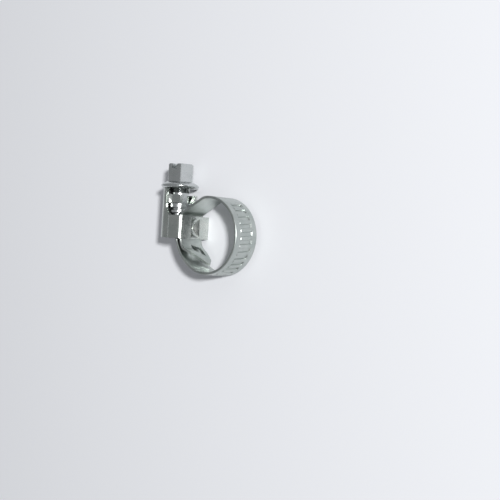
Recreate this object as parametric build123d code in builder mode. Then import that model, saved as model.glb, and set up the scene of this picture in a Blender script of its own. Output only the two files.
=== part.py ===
"""Worm drive hose clamp with a 9 mm band, shown almost fully open.

Row frame, in millimetres: the origin is the centre of the hose ring at the middle of
the band's width. +Z is the ring's axis, +Y runs along the worm screw towards its head,
and +X points from the housing across the ring.

Pieces: the steel strip (band), the folded steel housing and the worm screw.
"""
import os
from math import acos, atan, cos, degrees, pi, radians, sin, sqrt

from build123d import *

os.makedirs("parts", exist_ok=True)

# Strip and ring
band_width = 9.0
band_thick = 0.7
ring_outer_r = 11.05
ring_mid_r = ring_outer_r - band_thick / 2

# Worm screw, turned about an axis parallel to Y
worm_x = -15.15
thread_pitch = 2.2
thread_crest_r = 3.3
thread_root_r = 2.45
crest_land = 0.7
thread_foot = 1.25
stop_ring_r = 3.15
journal_r = 2.6
boss_r = 2.9
collar_r = 5.5
collar_rim = 1.25
rim_round = 0.5
hex_across_flats = 7.0
slot_width = 1.7
slot_depth = 1.5
hex_corner_angle = 39.0
hex_corner_r = 0.5
hex_chamfer = 0.3

# Stations along the screw, from its tail to the top of its head
tail_y = -0.7
thread_end_y = 7.5
stop_ring_y = 8.9
journal_end_y = 11.9
collar_y = 13.25
hex_base_y = 15.25
head_top_y = 20.3

# Housing, folded from one sheet
sheet = 0.87
barrel_r = 4.7
box_low_y = -1.2
box_high_y = 5.3
barrel_high_y = 13.15
box_half_width = 6.0
box_corner_r = 1.7
shoulder_start = 0.75
shoulder_end = 1.6
mouth_edge_depth = -0.85
mouth_corner_r = 3.0
claw_low_y = stop_ring_y + 0.15
claw_high_y = 11.3
claw_reach = 3.7
claw_gap_r = journal_r + 0.15
seam_z = 1.3
seam_gap = 0.12
crease_depth = 0.25
crease_width = 0.35
pit_edge_z = 0.1
pit_slope = 32.0

# Both ends of the strip in the housing: the toothed free end runs under the thread,
# and the fixed end lies on the saddle
free_end_x = worm_x + thread_crest_r + 0.05 + band_thick / 2
free_tip_y = 6.4
tip_taper = 1.6
saddle_face_x = -8.55
saddle_inner_x = saddle_face_x - sheet
fixed_end_x = saddle_inner_x - 0.03 - band_thick / 2
saddle_depth = saddle_face_x - worm_x

# Teeth pressed into the free end, one for each turn of the thread
tooth_length = 4.8
tooth_foot = 0.8
tooth_top = 0.45
tooth_rise = 0.45
pocket_depth = 0.3
first_tooth = 0.55
last_tooth_angle = 54.0
tooth_slant = degrees(atan(thread_pitch / (2 * pi * thread_crest_r)))

# Tongue: the fixed end's tail inside the ring, cut off on the slant, with a window
tongue_short_y = -4.0
tongue_long_y = -8.5
tongue_corner_y = -7.2
tongue_corner_z = -3.0
window_centre = (-4.2, -1.2)
window_size = (2.8, 3.6)


def polar(radius, angle):
    """A point at a radius and an angle in degrees from the sketch's first axis."""
    return (radius * cos(radians(angle)), radius * sin(radians(angle)))


def across(y):
    """Sketch plane square to the screw: first axis is Z, second is the depth below it."""
    return Plane(origin=(worm_x, y, 0), x_dir=(0, 0, 1), z_dir=(0, 1, 0))


# Middle line of the strip, from the free tip round the ring to the housing's mouth:
# straight runs joined by arcs
exit_bend_r = 3.6
lower_run_r = 15.0
lower_join_angle = 230.0
shoulder_r = 3.5
flat_distance = 10.05
flat_heading = 30.0
mouth_bend_r = 1.15

lower_centre = polar(ring_mid_r - lower_run_r, lower_join_angle)
exit_reach = free_end_x + exit_bend_r - lower_centre[0]
exit_drop = sqrt((lower_run_r - exit_bend_r) ** 2 - exit_reach**2)
exit_bend_y = lower_centre[1] - exit_drop
exit_turn = degrees(atan(exit_drop / -exit_reach))
shoulder_angle = 90 + flat_heading - degrees(
    acos((flat_distance - shoulder_r) / (ring_mid_r - shoulder_r))
)
mouth_x = fixed_end_x + mouth_bend_r
mouth_y = (flat_distance - mouth_bend_r + mouth_x * sin(radians(flat_heading))) / cos(
    radians(flat_heading)
)

with BuildLine() as loop_path:
    box_run = Line((free_end_x, free_tip_y), (free_end_x, exit_bend_y))
    exit_bend = CenterArc(
        (free_end_x + exit_bend_r, exit_bend_y), exit_bend_r, 180, exit_turn
    )
    lower_run = CenterArc(
        lower_centre, lower_run_r, 180 + exit_turn, lower_join_angle - 180 - exit_turn
    )
    ring_arc = CenterArc(
        (0, 0), ring_mid_r, lower_join_angle, 360 + shoulder_angle - lower_join_angle
    )
    shoulder = CenterArc(
        polar(ring_mid_r - shoulder_r, shoulder_angle),
        shoulder_r,
        shoulder_angle,
        90 + flat_heading - shoulder_angle,
    )
    mouth_bend = CenterArc((mouth_x, mouth_y), mouth_bend_r, 180, flat_heading - 90)
    Line(shoulder @ 1, mouth_bend @ 1)
    saddle_run = Line(mouth_bend @ 0, (fixed_end_x, box_low_y + 0.1))

with BuildLine() as tongue_path:
    tongue_bend = TangentArc(saddle_run @ 1, (-8.2, -4.35), tangent=saddle_run % 1)
    tongue_middle = TangentArc(tongue_bend @ 1, (-5.4, -7.4), tangent=tongue_bend % 1)
    TangentArc(tongue_middle @ 1, (-4.3, -8.65), tangent=tongue_middle % 1)

free_line = Wire([box_run, exit_bend, lower_run, ring_arc])


def tooth_plane(along):
    """Profile plane on the strip at a length from the free tip.

    Its first axis points out of the strip from the pockets' floor, its second along
    the strip, and its normal along the slanted tooth.
    """
    spot = free_line.position_at(along, position_mode=PositionMode.LENGTH)
    heading = free_line.tangent_at(along, position_mode=PositionMode.LENGTH)
    outward = Vector(heading.Y, -heading.X, 0)
    slanted = Vector(0, 0, 1) + heading * (sin(radians(tooth_slant)))
    floor = spot + outward * (band_thick / 2 - pocket_depth)
    return Plane(origin=floor, x_dir=outward, z_dir=slanted)


untoothed_angle = radians(shoulder_angle - last_tooth_angle)
toothed_length = free_line.length - untoothed_angle * ring_mid_r
tooth_count = int((toothed_length - first_tooth) / thread_pitch) + 1
tooth_planes = [tooth_plane(first_tooth + n * thread_pitch) for n in range(tooth_count)]
pocket_planes = [
    tooth_plane(first_tooth + (n + 0.5) * thread_pitch) for n in range(tooth_count)
]

with BuildPart() as band:
    # Tongue, cut and pierced before the ring is joined to it
    with BuildSketch():
        with BuildLine():
            add(tongue_path.line)
            offset(amount=band_thick / 2, side=Side.BOTH)
        make_face()
    extrude(amount=band_width / 2, both=True)
    with BuildSketch(Plane.YZ.offset(-6.5)):
        with BuildLine():
            Polyline(
                (tongue_short_y, band_width / 2 + 1),
                (tongue_short_y, band_width / 2),
                (tongue_long_y, tongue_corner_z),
                (tongue_corner_y, -band_width / 2),
                (tongue_corner_y, -band_width / 2 - 1),
                (tongue_corner_y - 4, -band_width / 2 - 1),
                (tongue_corner_y - 4, band_width / 2 + 1),
                close=True,
            )
        make_face()
        with Locations(window_centre):
            RectangleRounded(*window_size, 0.3)
    extrude(amount=3.5, both=True, mode=Mode.SUBTRACT)

    # Ring and the two runs inside the housing
    with BuildSketch():
        with BuildLine():
            add(loop_path.line)
            offset(amount=band_thick / 2, side=Side.BOTH)
        make_face()
    extrude(amount=band_width / 2, both=True)

    # The free tip is narrowed so that it threads into the housing
    with BuildSketch(Plane.YZ.offset(free_end_x)):
        with BuildLine():
            Polyline(
                (free_tip_y - tip_taper, band_width / 2),
                (free_tip_y, band_width / 2 - tip_taper),
                (free_tip_y, band_width / 2),
                close=True,
            )
        make_face()
        mirror(about=Plane.XZ)
    extrude(amount=band_thick, both=True, mode=Mode.SUBTRACT)

    # Pockets between the teeth, then the teeth that the thread drives
    pocket_foot = thread_pitch - tooth_foot - 0.25
    with BuildSketch(*pocket_planes):
        with BuildLine():
            Polyline(
                (0, -pocket_foot / 2),
                (0, pocket_foot / 2),
                (pocket_depth + 0.1, pocket_foot / 2 + 0.15),
                (pocket_depth + 0.1, -pocket_foot / 2 - 0.15),
                close=True,
            )
        make_face()
    extrude(amount=tooth_length / 2, both=True, mode=Mode.SUBTRACT)
    with BuildSketch(*tooth_planes):
        with BuildLine():
            Polyline(
                (0, -tooth_foot / 2),
                (0, tooth_foot / 2),
                (tooth_rise, tooth_top / 2),
                (tooth_rise, -tooth_top / 2),
                close=True,
            )
        make_face()
    extrude(amount=tooth_length / 2, both=True)

with BuildPart() as housing:
    # Box and barrel as one folded tube, opened up over the worm
    with BuildSketch(across(box_low_y)):
        with BuildLine():
            ThreePointArc((barrel_r, 0), (0, -barrel_r), (-barrel_r, 0))
            Polyline(
                (-barrel_r, 0),
                (-barrel_r, shoulder_start),
                (-box_half_width, shoulder_end),
                (-box_half_width, saddle_depth),
                (box_half_width, saddle_depth),
                (box_half_width, shoulder_end),
                (barrel_r, shoulder_start),
                (barrel_r, 0),
            )
        tube = make_face()
        fillet(tube.vertices().group_by(Axis.X)[-1], box_corner_r)
        offset(amount=-sheet, kind=Kind.INTERSECTION, mode=Mode.SUBTRACT)
    extrude(amount=barrel_high_y - box_low_y)
    edge_x = worm_x + mouth_edge_depth
    with BuildSketch():
        with BuildLine():
            Line((edge_x, barrel_high_y + 1), (edge_x, box_high_y + mouth_corner_r))
            ThreePointArc(
                (edge_x, box_high_y + mouth_corner_r),
                (edge_x + mouth_corner_r * (1 - cos(pi / 4)),
                 box_high_y + mouth_corner_r * (1 - cos(pi / 4))),
                (edge_x + mouth_corner_r, box_high_y),
            )
            Polyline(
                (edge_x + mouth_corner_r, box_high_y),
                (edge_x + 12, box_high_y),
                (edge_x + 12, barrel_high_y + 1),
                (edge_x, barrel_high_y + 1),
            )
        make_face()
    extrude(amount=box_half_width + 1, both=True, mode=Mode.SUBTRACT)

    # Claws that close on the journal and hold the screw endways
    with BuildSketch(across(claw_low_y)):
        with BuildLine():
            Polyline(
                (3.80, mouth_edge_depth - 0.1),
                (4.55, mouth_edge_depth - 0.1),
                (claw_gap_r + sheet, 0.5),
                (claw_gap_r + sheet, claw_reach),
                (claw_gap_r, claw_reach),
                (claw_gap_r, 0.2),
                close=True,
            )
        make_face()
        mirror(about=Plane.YZ)
    extrude(amount=claw_high_y - claw_low_y)

    # Seam in the saddle, two punched pits that clinch it and a crease to each
    with BuildSketch(Plane.YZ.offset(saddle_inner_x - 0.2)):
        with Locations(((box_low_y + box_high_y) / 2, seam_z)):
            Rectangle(box_high_y - box_low_y + 1, seam_gap)
    extrude(amount=sheet + 0.4, mode=Mode.SUBTRACT)
    pit_tilt = radians(pit_slope)
    pit_floor = Plane(
        origin=(saddle_face_x, 0, pit_edge_z),
        x_dir=(0, 1, 0),
        z_dir=(cos(pit_tilt), 0, sin(pit_tilt)),
    )
    with BuildSketch(pit_floor):
        for base_y, tip_y in ((4.75, 3.75), (-0.75, 0.35)):
            with BuildLine():
                Polyline((base_y, -0.4), (base_y, 1.15), (tip_y, 1.15), close=True)
            make_face()
    extrude(amount=1.5, mode=Mode.SUBTRACT)
    with BuildSketch(Plane.YZ.offset(saddle_face_x - crease_depth)):
        for crease_end in ((4.5, -1.9), (-0.6, -2.1)):
            with BuildLine():
                crease = Line((2.0, seam_z - 0.3), crease_end)
            trace(crease, line_width=crease_width)
    extrude(amount=1, mode=Mode.SUBTRACT)

# Thread ridge, a trapezoid section carried along the screw. Its crest passes the strip
# midway between two teeth.
ridge_inset = 0.1
ridge_start_y = tail_y + thread_foot / 2 + ridge_inset
ridge_run = thread_end_y - thread_foot / 2 - ridge_inset - ridge_start_y
crest_y = free_tip_y - first_tooth - thread_pitch / 2
crest_angle = 90 - 360 * (crest_y - ridge_start_y) / thread_pitch
ridge_frame = Plane(
    origin=(worm_x, ridge_start_y, 0),
    x_dir=(sin(radians(crest_angle)), 0, cos(radians(crest_angle))),
    z_dir=(0, 1, 0),
)


def ridge_line(radius, shift):
    """Helix of a ridge's corner, shifted along the screw from the crest's middle."""
    helix = Edge.make_helix(thread_pitch, ridge_run, radius, center=(0, 0, shift))
    return ridge_frame.from_local_coords(helix)


ridge_lines = [
    ridge_line(thread_root_r - ridge_inset, -thread_foot / 2 - ridge_inset / 2),
    ridge_line(thread_crest_r, -crest_land / 2),
    ridge_line(thread_crest_r, crest_land / 2),
    ridge_line(thread_root_r - ridge_inset, thread_foot / 2 + ridge_inset / 2),
]
ridge_sides = [
    Face.make_surface_from_curves(line, ridge_lines[n - 1])
    for n, line in enumerate(ridge_lines)
]
ridge_ends = [
    Face(Wire.make_polygon([line.position_at(end) for line in ridge_lines], close=True))
    for end in (0, 1)
]

with BuildPart() as worm_screw:
    add(Solid(Shell(ridge_sides + ridge_ends)))
    # Core, stop ring, journal, boss and collar
    with BuildSketch(Plane((worm_x, 0, 0), x_dir=(0, 0, 1), z_dir=(-1, 0, 0))):
        with BuildLine():
            Polyline(
                (0, tail_y),
                (thread_root_r - 0.3, tail_y),
                (thread_root_r, tail_y + 0.3),
                (thread_root_r, thread_end_y),
                (stop_ring_r - 0.15, thread_end_y),
                (stop_ring_r, thread_end_y + 0.15),
                (stop_ring_r, stop_ring_y - 0.15),
                (stop_ring_r - 0.15, stop_ring_y),
                (journal_r, stop_ring_y),
                (journal_r, journal_end_y),
                (boss_r, journal_end_y),
                (boss_r, collar_y),
                (collar_r - rim_round, collar_y),
                (collar_r, collar_y + rim_round),
                (collar_r, collar_y + collar_rim - rim_round),
                (collar_r - rim_round, collar_y + collar_rim),
                (hex_across_flats / 2, hex_base_y),
                (0, hex_base_y),
                close=True,
            )
        make_face()
    revolve(axis=Axis((worm_x, 0, 0), (0, 1, 0)))
    # Slotted hexagon
    with BuildSketch(across(hex_base_y - 0.6)):
        hexagon = RegularPolygon(
            hex_across_flats / 2, 6, major_radius=False, rotation=hex_corner_angle
        )
        fillet(hexagon.vertices(), hex_corner_r)
    extrude(amount=head_top_y - hex_base_y + 0.6)
    chamfer(worm_screw.faces().sort_by(Axis.Y)[-1].edges(), hex_chamfer)
    with BuildSketch(across(head_top_y - slot_depth)):
        Rectangle(3 * hex_across_flats, slot_width, rotation=hex_corner_angle - 30)
    extrude(amount=slot_depth + 1, mode=Mode.SUBTRACT)

for piece, name in ((band, "band"), (housing, "housing"), (worm_screw, "worm_screw")):
    piece.part.label = name

export_step(band.part, "parts/band.step")
export_step(housing.part, "parts/housing.step")
export_step(worm_screw.part, "parts/worm_screw.step")
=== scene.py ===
"""Looks of the worm drive hose clamp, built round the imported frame.

Row frame in metres: origin at the hose ring's centre, +Z along the ring's axis, +Y along
the worm screw towards its head, +X from the housing across the ring.
"""

import math

import bmesh
import bpy
import numpy as np
from mathutils import Matrix, Vector

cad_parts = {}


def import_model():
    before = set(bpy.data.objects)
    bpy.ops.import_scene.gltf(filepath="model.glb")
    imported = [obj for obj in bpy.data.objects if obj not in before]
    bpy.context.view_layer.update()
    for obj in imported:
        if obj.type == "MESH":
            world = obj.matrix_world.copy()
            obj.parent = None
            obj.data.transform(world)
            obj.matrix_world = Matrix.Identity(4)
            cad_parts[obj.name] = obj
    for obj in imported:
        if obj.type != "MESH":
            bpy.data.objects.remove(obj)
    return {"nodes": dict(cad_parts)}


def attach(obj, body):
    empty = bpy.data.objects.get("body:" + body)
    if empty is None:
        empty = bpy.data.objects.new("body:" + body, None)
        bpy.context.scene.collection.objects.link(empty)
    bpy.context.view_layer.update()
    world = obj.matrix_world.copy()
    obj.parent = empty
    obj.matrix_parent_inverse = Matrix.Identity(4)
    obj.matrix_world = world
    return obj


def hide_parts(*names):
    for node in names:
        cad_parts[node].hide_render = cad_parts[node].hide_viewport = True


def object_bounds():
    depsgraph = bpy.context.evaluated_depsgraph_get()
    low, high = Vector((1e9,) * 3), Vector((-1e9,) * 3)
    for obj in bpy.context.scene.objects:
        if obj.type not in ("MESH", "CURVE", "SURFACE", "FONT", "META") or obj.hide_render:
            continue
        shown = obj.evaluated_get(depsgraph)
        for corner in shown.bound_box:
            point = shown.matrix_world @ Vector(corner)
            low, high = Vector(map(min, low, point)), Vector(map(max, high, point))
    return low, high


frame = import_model()
cad_box = [list(corner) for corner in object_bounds()]

MM = 0.001
MERGE_DISTANCE = 2e-6

# Strip, as in the part's source
BAND_WIDTH = 9.0
BAND_THICK = 0.7
RING_MID_R = 10.7
WORM_X = -15.15
PITCH = 2.2
FREE_END_X = -11.45
FREE_TIP_Y = 6.4
TIP_TAPER = 1.6
FIXED_END_X = -9.8
SADDLE_LOW_Y = -1.1
FIRST_TOOTH = 0.55
LAST_TOOTH_ANGLE = 54.0
TOOTH_LENGTH = 4.8
TOOTH_SLANT = PITCH / (2 * math.pi * 3.3)


# Meshes
def grid_faces(rows, cols, close_rows=False, close_cols=False):
    """Quads of a rows by cols grid of points numbered row by row."""
    i = np.arange(rows if close_rows else rows - 1)[:, None]
    j = np.arange(cols if close_cols else cols - 1)[None, :]
    i2, j2 = (i + 1) % rows, (j + 1) % cols
    quads = np.stack(
        np.broadcast_arrays(i * cols + j, i * cols + j2, i2 * cols + j2, i2 * cols + j),
        axis=-1,
    )
    return quads.reshape(-1, 4)


def mesh_piece(name, points_mm, faces, smooth_angle=40.0):
    """A mesh object from points in millimetres and quads or triangles."""
    mesh = bpy.data.meshes.new(name)
    mesh.from_pydata((np.asarray(points_mm) * MM).tolist(), [], [list(f) for f in faces])
    mesh.validate()
    piece = bpy.data.objects.new(name, mesh)
    bpy.context.scene.collection.objects.link(piece)
    shade(piece, smooth_angle)
    return piece


def shade(piece, angle):
    """Smooth shading with edges sharper than the angle kept sharp."""
    mesh = piece.data
    mesh.polygons.foreach_set("use_smooth", np.ones(len(mesh.polygons), bool))
    mesh.set_sharp_from_angle(angle=math.radians(angle))


def cad_copy(node, name, smooth_angle=24.0):
    """A copy of a CAD node with its touching points merged and its curves shaded."""
    copied = bmesh.new()
    copied.from_mesh(frame["nodes"][node].data)
    bmesh.ops.remove_doubles(copied, verts=copied.verts, dist=MERGE_DISTANCE)
    mesh = bpy.data.meshes.new(name)
    copied.to_mesh(mesh)
    copied.free()
    piece = bpy.data.objects.new(name, mesh)
    bpy.context.scene.collection.objects.link(piece)
    shade(piece, smooth_angle)
    return piece


# Strip
def strip_path():
    """Middle line of the strip as runs of (length, turn in degrees).

    Starts at the free tip heading down -Y and goes round the ring to the tongue.
    """
    lower_r, join, exit_r = 15.0, math.radians(230.0), 3.6
    reach = FREE_END_X + exit_r - (RING_MID_R - lower_r) * math.cos(join)
    drop = math.sqrt((lower_r - exit_r) ** 2 - reach**2)
    exit_y = (RING_MID_R - lower_r) * math.sin(join) - drop
    exit_turn = math.degrees(math.atan(drop / -reach))
    shoulder_r, flat_distance, mouth_r = 3.5, 10.05, 1.15
    heading = math.radians(30.0)
    shoulder_angle = 120.0 - math.degrees(
        math.acos((flat_distance - shoulder_r) / (RING_MID_R - shoulder_r))
    )
    mouth_x = FIXED_END_X + mouth_r
    mouth_y = (flat_distance - mouth_r + mouth_x * math.sin(heading)) / math.cos(heading)
    shoulder_x = (RING_MID_R - shoulder_r) * math.cos(math.radians(shoulder_angle))
    shoulder_y = (RING_MID_R - shoulder_r) * math.sin(math.radians(shoulder_angle))
    flat = math.hypot(
        shoulder_x - shoulder_r * 0.5 - (mouth_x - mouth_r * 0.5),
        shoulder_y + shoulder_r * math.cos(heading)
        - (mouth_y + mouth_r * math.cos(heading)),
    )
    sweep = 130 + shoulder_angle
    runs = [
        (FREE_TIP_Y - exit_y, 0.0),
        (exit_r * math.radians(exit_turn), exit_turn),
        (lower_r * math.radians(50.0 - exit_turn), 50.0 - exit_turn),
        (RING_MID_R * math.radians(sweep), sweep),
        (shoulder_r * math.radians(120 - shoulder_angle), 120 - shoulder_angle),
        (flat, 0.0),
        (mouth_r * math.radians(60.0), 60.0),
        (mouth_y - SADDLE_LOW_Y, 0.0),
    ]
    ring_end = sum(length for length, _ in runs[:4])
    point, way = np.array([FIXED_END_X, SADDLE_LOW_Y]), -90.0
    for goal in ((-8.2, -4.35), (-5.4, -7.4), (-4.3, -8.65)):
        chord = np.array(goal) - point
        turn = 2 * (math.degrees(math.atan2(chord[1], chord[0])) - way)
        reach = float(np.hypot(*chord))
        half = math.radians(abs(turn) / 2)
        runs.append((reach * half / math.sin(half), turn))
        point, way = np.array(goal), way + turn
    return runs, ring_end, shoulder_angle


RUNS, RING_END, SHOULDER_ANGLE = strip_path()
SADDLE_START = sum(length for length, _ in RUNS[:7])
TONGUE_START = sum(length for length, _ in RUNS[:8])
STRIP_LENGTH = sum(length for length, _ in RUNS)


def path_samples():
    """Length, position and heading along the strip: the heading is the sum of the turns,
    and the position is the integral of its cosine and sine."""
    ends = np.cumsum([0.0] + [length for length, _ in RUNS])
    ways = np.cumsum([-90.0] + [turn for _, turn in RUNS])
    u = np.linspace(0.0, ends[-1], 40001)
    way = np.radians(np.interp(u, ends, ways))
    step = u[1] - u[0]
    mid = 0.5 * (way[1:] + way[:-1])
    x = FREE_END_X + np.concatenate([[0.0], np.cumsum(np.cos(mid)) * step])
    y = FREE_TIP_Y + np.concatenate([[0.0], np.cumsum(np.sin(mid)) * step])
    return u, x, y, way


PATH_U, PATH_X, PATH_Y, PATH_WAY = path_samples()


def place_on_path(u, lift):
    """Point at length u, lifted off the middle line towards the strip's outer side."""
    x = np.interp(u, PATH_U, PATH_X)
    y = np.interp(u, PATH_U, PATH_Y)
    way = np.interp(u, PATH_U, PATH_WAY)
    return x + lift * np.sin(way), y - lift * np.cos(way)


def tooth_height(u, z):
    """Relief of the pressed teeth: a smooth wave of period PITCH whose top stands 0.15
    above the strip and whose floor lies 0.30 below, slanted by TOOTH_SLANT and faded out
    past half of TOOTH_LENGTH."""
    last = RING_END - math.radians(SHOULDER_ANGLE - LAST_TOOTH_ANGLE) * RING_MID_R
    phase = (u - FIRST_TOOTH + z * TOOTH_SLANT) / PITCH
    off = np.abs(phase - np.round(phase)) * PITCH
    top = 1.0 - smooth(off, 0.22, 0.50)
    floor = smooth(off, 0.50, 0.62)
    wave = 0.15 * top - 0.30 * floor
    count = int((last - FIRST_TOOTH) / PITCH)
    ends = (phase > -0.28) & (phase < count + 0.78)
    across = 1.0 - smooth(np.abs(z), TOOTH_LENGTH / 2 - 0.12, TOOTH_LENGTH / 2 + 0.06)
    return wave * across * ends


def smooth(x, low, high):
    """Smooth step from 0 at low to 1 at high: t squared times (3 - 2t)."""
    t = np.clip((x - low) / (high - low), 0.0, 1.0)
    return t * t * (3.0 - 2.0 * t)


def strip_columns():
    """Stations along the strip: fine at each tooth, plain between."""
    last = RING_END - math.radians(SHOULDER_ANGLE - LAST_TOOTH_ANGLE) * RING_MID_R
    one = np.array([0.0, 0.11, 0.22, 0.29, 0.36, 0.43, 0.50, 0.56, 0.62, 0.75, 0.92])
    marks = np.concatenate([one, [1.1], PITCH - one[:0:-1]])
    count = int((last - FIRST_TOOTH) / PITCH) + 1
    toothed = (FIRST_TOOTH + PITCH * np.arange(count)[:, None] + marks[None, :]).ravel()
    toothed = toothed[toothed < last + 0.8]
    tip = np.linspace(0.0, FIRST_TOOTH, 4)[:-1]
    plain = np.arange(toothed[-1] + 0.2, TONGUE_START, 0.2)
    return np.concatenate([tip, toothed, plain])


WINDOW = (0.40, 0.71)
WINDOW_Z = (-3.0, 0.6)


def tongue_end(z):
    """Path length at which the tongue is cut off: a long slant from one edge to a corner
    near the other, then a short way back."""
    y_end = np.where(
        z > -3.0, -8.5 + (z + 3.0) / 7.5 * 4.5, -8.5 - (z + 3.0) / 1.5 * 1.3
    )
    inside = PATH_U > TONGUE_START
    order = np.argsort(PATH_Y[inside])
    return np.interp(y_end, PATH_Y[inside][order], PATH_U[inside][order])


def strip_band():
    """The steel strip: a rounded rectangle carried along the path, with pressed teeth.

    Point (u, z) on a face lies at the path's place for u, lifted by half the thickness
    plus the teeth's relief; the edges are half ellipses of the thickness.
    """
    half_w, half_t, edge = BAND_WIDTH / 2, BAND_THICK / 2, 0.22
    z_face = np.concatenate(
        [
            np.linspace(-half_w + edge, -3.0, 6)[:-1],
            np.linspace(-3.0, -2.46, 4)[:-1],
            [-2.46, -2.43, -2.40, -2.37, -2.34, -2.31, -2.28],
            np.linspace(-2.2, 0.6, 12),
            np.linspace(0.6, 2.2, 7)[1:],
            [2.28, 2.31, 2.34, 2.37, 2.40, 2.43, 2.46],
            np.linspace(2.46, 3.0, 4)[1:],
            np.linspace(3.0, half_w - edge, 6)[1:],
        ]
    )
    turn = np.linspace(0, math.pi, 9)[1:-1]
    around_z = np.concatenate(
        [
            z_face,
            half_w - edge + edge * np.sin(turn),
            z_face[::-1],
            -half_w + edge - edge * np.sin(turn),
        ]
    )
    around_t = np.concatenate(
        [
            np.full(len(z_face), 1.0),
            np.cos(turn),
            np.full(len(z_face), -1.0),
            -np.cos(turn),
        ]
    )
    outer = np.zeros(len(around_z))
    outer[: len(z_face)] = 1.0
    fixed = strip_columns()
    share = np.linspace(0.0, 1.0, 64)
    lean_from = TONGUE_START - 0.9
    fixed = fixed[fixed < lean_from]
    u_fixed = np.repeat(fixed[:, None], len(around_z), axis=1)
    slope_room = smooth(np.abs(around_z), 2.5, 3.2)
    tip_cut = np.clip(np.abs(around_z) - (half_w - TIP_TAPER), 0.0, None)
    near_tip = np.clip(1.0 - fixed / 2.6, 0.0, 1.0)
    u_fixed = u_fixed + near_tip[:, None] * tip_cut[None, :]
    shear = around_z * TOOTH_SLANT * (1 - slope_room)
    last = RING_END - math.radians(SHOULDER_ANGLE - LAST_TOOTH_ANGLE) * RING_MID_R
    sheared = smooth(fixed, 0.1, 0.5) * (1 - smooth(fixed, last + 0.8, last + 2.5))
    u_fixed = u_fixed - sheared[:, None] * shear[None, :]
    end = tongue_end(np.clip(around_z, -half_w, half_w))
    u_tongue = lean_from + share[:, None] * (end - lean_from)[None, :]
    u = np.concatenate([u_fixed, u_tongue])
    z = np.broadcast_to(around_z, u.shape)
    lift = half_t * around_t[None, :] + outer[None, :] * tooth_height(u, z)
    x, y = place_on_path(u, lift)
    points = np.stack([x, y, z], axis=-1)
    rows, cols = u.shape
    faces = grid_faces(rows, cols, close_cols=True)
    row, col = faces[:, 0] // cols, faces[:, 0] % cols

    # Window: its cells are left out of both faces and a wall joins them
    first, last_row = len(fixed) + int(WINDOW[0] * 63), len(fixed) + int(WINDOW[1] * 63)
    n = len(z_face)
    low = int(np.argmin(np.abs(z_face - WINDOW_Z[0])))
    high = int(np.argmin(np.abs(z_face - WINDOW_Z[1])))
    mirror_col = 2 * n + len(turn) - 1
    hole_out = (col >= low) & (col < high)
    hole_in = (col >= mirror_col - high) & (col < mirror_col - low)
    in_rows = (row >= first) & (row < last_row)
    faces = faces[~(in_rows & (hole_out | hole_in))]
    ring = (
        [(first, c) for c in range(low, high)]
        + [(r, high) for r in range(first, last_row)]
        + [(last_row, c) for c in range(high, low, -1)]
        + [(r, low) for r in range(last_row, first, -1)]
    )
    out_ring = np.array([r * cols + c for r, c in ring])
    in_ring = np.array([r * cols + mirror_col - c for r, c in ring])
    walls = np.stack(
        [out_ring, np.roll(out_ring, -1), np.roll(in_ring, -1), in_ring], axis=-1
    )
    # End caps join the outer line to the inner one
    c = np.arange(n - 1)
    m = mirror_col - c
    caps = []
    for base, flip in ((0, False), ((rows - 1) * cols, True)):
        cap = np.stack([base + c, base + m, base + m - 1, base + c + 1], axis=-1)
        caps.append(cap[:, ::-1] if flip else cap)
        e = np.arange(len(turn) // 2)
        for start, other in ((n - 1, mirror_col - (n - 1)),):
            side = np.stack(
                [base + start + e, base + other - e, base + other - e - 1,
                 base + start + e + 1], axis=-1
            )
            caps.append(side[:, ::-1] if flip else side)
        left = 2 * n + len(turn)
        after = (left + np.arange(len(turn))) % cols
        order = np.concatenate([[mirror_col], after, [0]])
        for k in range(len(order) // 2):
            a, b = order[k], order[k + 1]
            d, f = order[-1 - k], order[-2 - k]
            quad = [base + a, base + b, base + f, base + d]
            caps.append(np.array([quad[::-1] if flip else quad]))
    faces = [list(dict.fromkeys(f)) for f in np.concatenate([faces, walls, *caps]).tolist()]
    faces = [f for f in faces if len(f) > 2]
    return mesh_piece("strip_band", points.reshape(-1, 3), faces, 35.0)


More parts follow.
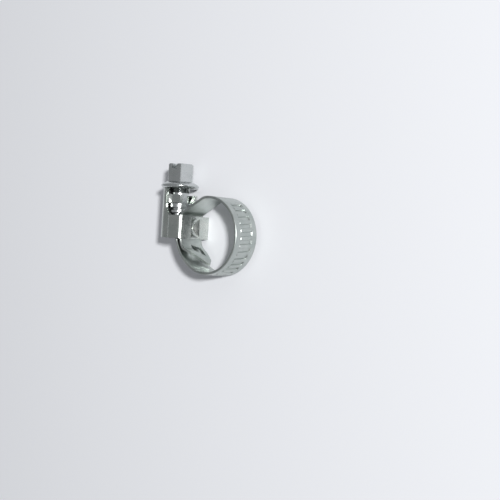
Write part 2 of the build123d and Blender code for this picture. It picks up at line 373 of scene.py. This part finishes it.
# Finishes
def steel(name, colour, roughness, grain, tint, grime):
    """Zinc plated steel: fine drawn grain, a faint greenish cloud and dull patches."""
    material = bpy.data.materials.new(name)
    material.use_nodes = True
    tree = material.node_tree
    nodes, links = tree.nodes, tree.links
    shader = nodes["Principled BSDF"]
    shader.inputs["Metallic"].default_value = 1.0
    place = nodes.new("ShaderNodeTexCoord").outputs["Object"]

    def noise(scale, detail, stretch=(1, 1, 1)):
        mapping = nodes.new("ShaderNodeMapping")
        mapping.inputs["Scale"].default_value = stretch
        links.new(place, mapping.inputs["Vector"])
        texture = nodes.new("ShaderNodeTexNoise")
        texture.inputs["Scale"].default_value = scale
        texture.inputs["Detail"].default_value = detail
        links.new(mapping.outputs[0], texture.inputs["Vector"])
        return texture.outputs["Fac"]

    def spread(source, low, high, to_low, to_high):
        ranged = nodes.new("ShaderNodeMapRange")
        ranged.inputs["From Min"].default_value = low
        ranged.inputs["From Max"].default_value = high
        ranged.inputs["To Min"].default_value = to_low
        ranged.inputs["To Max"].default_value = to_high
        links.new(source, ranged.inputs["Value"])
        return ranged.outputs[0]

    cloud = noise(260.0, 3.0)
    ramp = nodes.new("ShaderNodeValToRGB")
    ramp.color_ramp.elements[0].position = 0.32
    ramp.color_ramp.elements[1].position = 0.68
    ramp.color_ramp.elements[0].color = (*tint, 1)
    ramp.color_ramp.elements[1].color = (*colour, 1)
    links.new(cloud, ramp.inputs[0])
    links.new(ramp.outputs[0], shader.inputs["Base Color"])
    dull = noise(900.0, 4.0)
    rough = spread(dull, 0.3, 0.7, roughness - grime, roughness + grime)
    links.new(rough, shader.inputs["Roughness"])
    lines = noise(1400.0, 2.0, grain)
    bump = nodes.new("ShaderNodeBump")
    bump.inputs["Strength"].default_value = 0.12
    bump.inputs["Distance"].default_value = 0.00004
    links.new(lines, bump.inputs["Height"])
    links.new(bump.outputs[0], shader.inputs["Normal"])
    return material


def dress(piece, node, material):
    """Puts a finished piece in its node's place."""
    body = "screw" if node == "worm_screw" else "clamp"
    piece.data.materials.clear()
    piece.data.materials.append(material)
    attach(piece, body)
    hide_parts(node)


strip_steel = steel(
    "strip_steel", (0.52, 0.55, 0.53), 0.36, (1, 1, 7), (0.42, 0.46, 0.44), 0.08
)
sheet_steel = steel(
    "sheet_steel", (0.60, 0.62, 0.59), 0.26, (6, 1, 6), (0.50, 0.54, 0.51), 0.07
)
turned_steel = steel(
    "turned_steel", (0.64, 0.66, 0.66), 0.24, (1, 7, 1), (0.54, 0.57, 0.56), 0.07
)

dress(strip_band(), "band", strip_steel)
dress(cad_copy("housing", "folded_housing"), "housing", sheet_steel)
dress(cad_copy("worm_screw", "slotted_screw"), "worm_screw", turned_steel)


# Studio
FLOOR_Z = cad_box[0][2] - 0.00002
CAMERA_TURN = math.radians(39.5)
CAMERA_ROLL = math.radians(3.5)
CAMERA_DISTANCE = 300.0
RING_IN_FRAME = (-9.465, 3.944)
FOCAL_PX = 1065.0


def view_axes():
    """Right, up and back of the camera: turned about Y, then rolled."""
    flat = Vector((math.cos(CAMERA_TURN), 0, -math.sin(CAMERA_TURN)))
    rise = Vector((0, 1, 0))
    back = Vector((math.sin(CAMERA_TURN), 0, math.cos(CAMERA_TURN)))
    right = flat * math.cos(CAMERA_ROLL) + rise * math.sin(CAMERA_ROLL)
    up = rise * math.cos(CAMERA_ROLL) - flat * math.sin(CAMERA_ROLL)
    return right, up, back


def aim(at, towards, up=Vector((0, 1, 0))):
    """Turned so that an object's -Z looks from one point to another."""
    back = (at - towards).normalized()
    right = up.cross(back).normalized()
    rise = back.cross(right)
    turned = Matrix((right, rise, back)).transposed().to_4x4()
    turned.translation = at
    return turned


def camera():
    right, up, back = view_axes()
    lens = bpy.data.cameras.new("camera")
    lens.sensor_width = 36.0
    lens.lens = FOCAL_PX * 36.0 / 500
    lens.clip_start = 0.01
    eye = bpy.data.objects.new("camera", lens)
    bpy.context.scene.collection.objects.link(eye)
    place = Matrix((right, up, back)).transposed().to_4x4()
    offset = -RING_IN_FRAME[0] * right - RING_IN_FRAME[1] * up
    place.translation = (offset + back * CAMERA_DISTANCE) * MM
    eye.matrix_world = place
    bpy.context.scene.camera = eye


def plain_material(name, colour, roughness):
    material = bpy.data.materials.new(name)
    material.use_nodes = True
    shader = material.node_tree.nodes["Principled BSDF"]
    shader.inputs["Base Color"].default_value = (*colour, 1)
    shader.inputs["Roughness"].default_value = roughness
    return material


def floor():
    half = 0.9
    points = [(-half, -half), (half, -half), (half, half), (-half, half)]
    mesh = bpy.data.meshes.new("floor")
    mesh.from_pydata([(x, y, FLOOR_Z) for x, y in points], [], [(0, 1, 2, 3)])
    sheet = bpy.data.objects.new("floor", mesh)
    bpy.context.scene.collection.objects.link(sheet)
    mesh.materials.append(plain_material("pale_floor", (0.80, 0.81, 0.84), 0.95))


def lamp(name, along, distance, size, watts, tall=None):
    """An area lamp in a direction given in the camera's right, up and back."""
    right, up, back = view_axes()
    way = (right * along[0] + up * along[1] + back * along[2]).normalized()
    light = bpy.data.lights.new(name, "AREA")
    light.shape = "RECTANGLE" if tall else "SQUARE"
    light.size = size
    if tall:
        light.size_y = tall
    light.energy = watts
    body = bpy.data.objects.new(name, light)
    bpy.context.scene.collection.objects.link(body)
    body.matrix_world = aim(way * distance, Vector((0, 0, 0)))


def world():
    """Dim even surround, so that bright steel shows dark and light."""
    surround = bpy.data.worlds.new("surround")
    bpy.context.scene.world = surround
    surround.use_nodes = True
    back = surround.node_tree.nodes["Background"]
    back.inputs["Color"].default_value = (0.95, 0.97, 1.0, 1)
    back.inputs["Strength"].default_value = 0.3


camera()
floor()
world()
lamp("key_lamp", (0.16, 0.12, 1.0), 1.0, 0.08, 10.2)
bpy.context.scene.view_settings.view_transform = "Standard"
